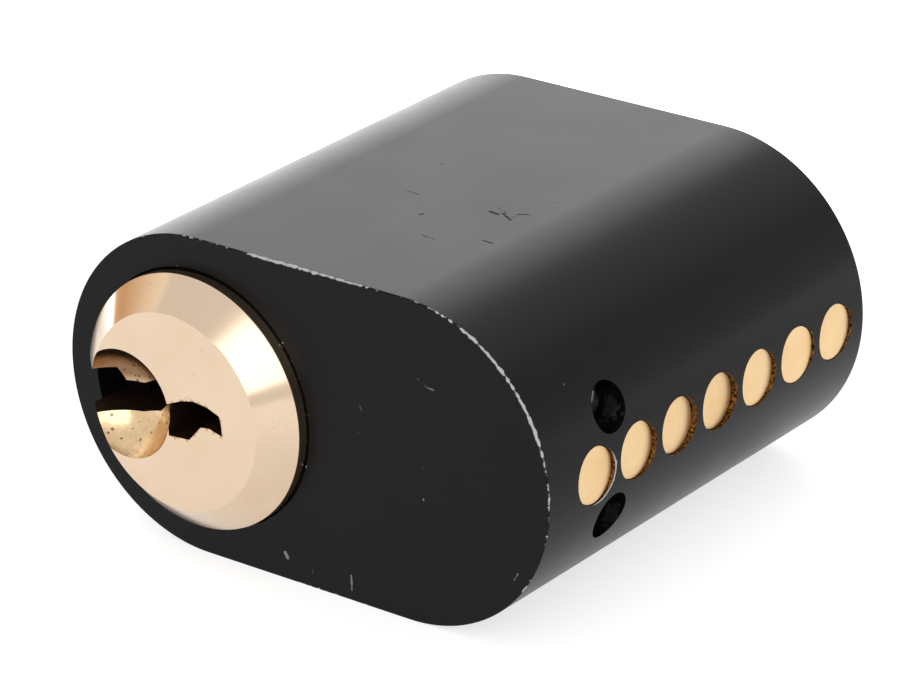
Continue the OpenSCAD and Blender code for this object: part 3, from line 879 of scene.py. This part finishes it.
# Phosphated spring steel: dark grey, matt, a little oily
ring_steel, tree, shader = start_material("phosphated_spring_steel")
place = add(tree, "ShaderNodeTexCoord").outputs["Object"]
crystals = add(tree, "ShaderNodeTexNoise", {"Vector": place, "Scale": 1 / (0.15 * mm), "Detail": 4.0})
ring_colour = add(
    tree, "ShaderNodeMix",
    {"Factor": crystals.outputs["Fac"], "A": srgb("#3b3d41"), "B": srgb("#71747a")}, data_type="RGBA"
)
bump = add(tree, "ShaderNodeBump", {"Height": crystals.outputs["Fac"], "Strength": 0.3, "Distance": 0.02 * mm})
tree.links.new(ring_colour.outputs["Result"], shader.inputs["Base Color"])
tree.links.new(bump.outputs[0], shader.inputs["Normal"])
shader.inputs["Metallic"].default_value = 1.0
shader.inputs["Roughness"].default_value = 0.42

ring = copied("retaining_ring", "circlip")
bpy.ops.object.mode_set(mode="EDIT")
bpy.ops.mesh.select_all(action="SELECT")
bpy.ops.mesh.dissolve_limited(angle_limit=math.radians(0.5))
bpy.ops.object.mode_set(mode="OBJECT")
finish_with(ring, "BEVEL", width=0.08 * mm, segments=2, limit_method="ANGLE", angle_limit=math.radians(40))
ring.data.materials.append(ring_steel)
smooth(ring)
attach(ring, "plug")
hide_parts("retaining_ring")


# Tailpiece. A flat steel bar that stands in the hub's slot and turns the lock case behind. It is
# sheared to length, its end corners broken, and zinc plated.

# Zinc plate: pale and a little cloudy over the sheared bar's long grain
zinc_plate, tree, shader = start_material("zinc_plated_steel")
place = add(tree, "ShaderNodeTexCoord").outputs["Object"]
stretched = add(tree, "ShaderNodeMapping", {"Vector": place, "Scale": (1.0, 0.06, 1.0)})
rolled = add(tree, "ShaderNodeTexNoise", {"Vector": stretched.outputs[0], "Scale": 1 / (0.18 * mm), "Detail": 3.0})
bloom = add(tree, "ShaderNodeTexNoise", {"Vector": place, "Scale": 1 / (4 * mm), "Detail": 4.0})
zinc_colour = add(
    tree, "ShaderNodeMix",
    {"Factor": bloom.outputs["Fac"], "A": srgb("#85888d"), "B": srgb("#b4b7ba")}, data_type="RGBA"
)
zinc_gloss = between(tree, bloom.outputs["Fac"], 0.3, 0.7, 0.24, 0.4)
bump = add(tree, "ShaderNodeBump", {"Height": rolled.outputs["Fac"], "Strength": 0.25, "Distance": 0.02 * mm})
tree.links.new(zinc_colour.outputs["Result"], shader.inputs["Base Color"])
tree.links.new(zinc_gloss, shader.inputs["Roughness"])
tree.links.new(bump.outputs[0], shader.inputs["Normal"])
shader.inputs["Metallic"].default_value = 1.0

bpy.ops.mesh.primitive_cube_add(
    size=1, location=(tail_low + tail_high) / 2, scale=tail_high - tail_low
)
tail = placed("tail_bar")
tail.data.materials.append(zinc_plate)
bpy.ops.object.mode_set(mode="EDIT")
select_in_edit(
    tail, "EDGE",
    lambda e: all(v.co.y > tail_high.y - 0.1 * mm for v in e.verts)
    and abs(e.verts[0].co.z - e.verts[1].co.z) > mm
)
bpy.ops.mesh.bevel(offset=0.5 * mm, segments=1, affect="EDGES")
bpy.ops.object.mode_set(mode="OBJECT")
bpy.ops.mesh.primitive_cylinder_add(
    vertices=48, radius=tail_pin_high.x + 0.01 * mm, depth=3 * hub_r,
    location=(0, (tail_pin_low.y + tail_pin_high.y) / 2, 0)
)
cut_away(tail, placed("tail_hole"))
finish_with(tail, "BEVEL", width=0.12 * mm, segments=2, limit_method="ANGLE", angle_limit=math.radians(25))
smooth(tail)
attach(tail, "plug")
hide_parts("tailpiece")


# Tailpiece pin. A short steel dowel pressed through the hub and the bar, its ends rounded and just
# below the hub's surface.

bpy.ops.mesh.primitive_cylinder_add(
    vertices=48, radius=tail_pin_high.x, depth=tail_pin_high.z - tail_pin_low.z,
    location=(tail_pin_low + tail_pin_high) / 2
)
tail_pin = placed("tail_dowel")
finish_with(tail_pin, "BEVEL", width=0.2 * mm, segments=3, limit_method="ANGLE")
tail_pin.data.materials.append(zinc_plate)
smooth(tail_pin)
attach(tail_pin, "plug")
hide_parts("tailpiece_pin")


# Studio: an opal table lit from below in a white tent, a large soft light behind to the left that
# lifts the upper flat, one by the camera for the head's bevel, and a warm card to the left.

floor_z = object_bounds()[0][2]
# Opal acrylic: white, matt and glowing, so the lock hardly throws a shadow on it. It is brightest
# behind to the left, which whitens the lock's far rounding.
opal, tree, shader = start_material("opal_acrylic")
shader.inputs["Base Color"].default_value = (0.42, 0.42, 0.42, 1)
shader.inputs["Roughness"].default_value = 0.9
shader.inputs["IOR"].default_value = 1.05
shader.inputs["Emission Color"].default_value = (1, 1, 1, 1)
place = add(tree, "ShaderNodeTexCoord").outputs["Object"]
to_back_left = add(tree, "ShaderNodeVectorMath", {0: place, 1: (-0.45, 0.89, 0)}, operation="DOT_PRODUCT")
glow = between(tree, to_back_left.outputs["Value"], 0.055, 0.12, 0.7, 2.1)
tree.links.new(glow, shader.inputs["Emission Strength"])
bpy.ops.mesh.primitive_plane_add(size=6, location=(0, 0, floor_z))
floor = placed("floor")
floor.data.materials.append(opal)

# Warm card: a sheet of tan board to the left, paler towards its top, seen only in the head's bevel
tan_board, tree, shader = start_material("tan_board")
place = add(tree, "ShaderNodeTexCoord").outputs["Object"]
split = add(tree, "ShaderNodeSeparateXYZ", {"Vector": place})
paler = between(tree, split.outputs["Z"], 0.1, 0.62)
board_colour = add(
    tree, "ShaderNodeMix", {"Factor": paler, "A": (0.42, 0.27, 0.15, 1), "B": (0.98, 0.93, 0.82, 1)},
    data_type="RGBA"
)
tree.links.new(board_colour.outputs["Result"], shader.inputs["Base Color"])
shader.inputs["Roughness"].default_value = 0.9
bpy.ops.mesh.primitive_plane_add(
    size=1, location=(-0.8, 0, 0.32), rotation=(0, math.pi / 2, 0)
)
card = placed("warm_card")
bpy.ops.object.mode_set(mode="EDIT")
bpy.ops.transform.resize(value=(1, 0.6, 0.66), center_override=(-0.8, 0, 0.32))
bpy.ops.object.mode_set(mode="OBJECT")
card.data.materials.append(tan_board)


def softbox(name, azimuth, elevation, width, height, glow, colour=(1, 1, 1)):
    # a rectangular light 0.8 m away that faces the lock; glow is its brightness, white paper's is 1
    distance = 0.8
    a, e = math.radians(azimuth), math.radians(elevation)
    away = Vector((math.sin(a) * math.cos(e), -math.cos(a) * math.cos(e), math.sin(e)))
    middle = Vector((end_x / 2, body_d / 2, 0))
    bpy.ops.object.light_add(type="AREA", location=middle + away * distance)
    light = bpy.context.active_object
    light.name = light.data.name = name
    light.rotation_euler = away.to_track_quat("Z", "Y").to_euler()
    light.data.shape = "RECTANGLE"
    light.data.size, light.data.size_y = width, height
    light.data.energy = glow * math.pi * width * height
    light.data.color = colour
    light.visible_camera = False


softbox("back_light", 218, 22, 0.56, 0.6, 2.05)
softbox("upper_light", 184, 46, 0.75, 0.4, 0.6)
softbox("key_light", 30, 28.5, 0.9, 0.53, 1.6)

world = bpy.data.worlds.new("white_tent")
world.use_nodes = True
world.node_tree.nodes["Background"].inputs["Color"].default_value = (1, 1, 1, 1)
world.node_tree.nodes["Background"].inputs["Strength"].default_value = 0.95
bpy.context.scene.world = world

# Camera: a long lens from the front right, a little above
aim = Vector((13.01, 12.10, 3.59)) * mm
camera_azimuth, camera_elevation, camera_roll = 0.6605, 0.4136, -0.0215
camera_distance = 331.45 * mm
away = Vector((
    math.sin(camera_azimuth) * math.cos(camera_elevation),
    -math.cos(camera_azimuth) * math.cos(camera_elevation),
    math.sin(camera_elevation)
))
bpy.ops.object.camera_add(location=aim + away * camera_distance)
camera = bpy.context.active_object
camera.name = "camera"
right = Vector((math.cos(camera_azimuth), math.sin(camera_azimuth), 0))
up = away.cross(right)
roll_right = right * math.cos(camera_roll) + up * math.sin(camera_roll)
roll_up = up * math.cos(camera_roll) - right * math.sin(camera_roll)
camera.rotation_euler = away.to_track_quat("Z", "Y").to_euler()
camera.rotation_euler.rotate_axis("Z", camera_roll)
camera.data.lens = 187.1
camera.data.sensor_width = 36
camera.data.clip_start = 0.01
bpy.context.scene.camera = camera
bpy.context.scene.view_settings.view_transform = "Standard"
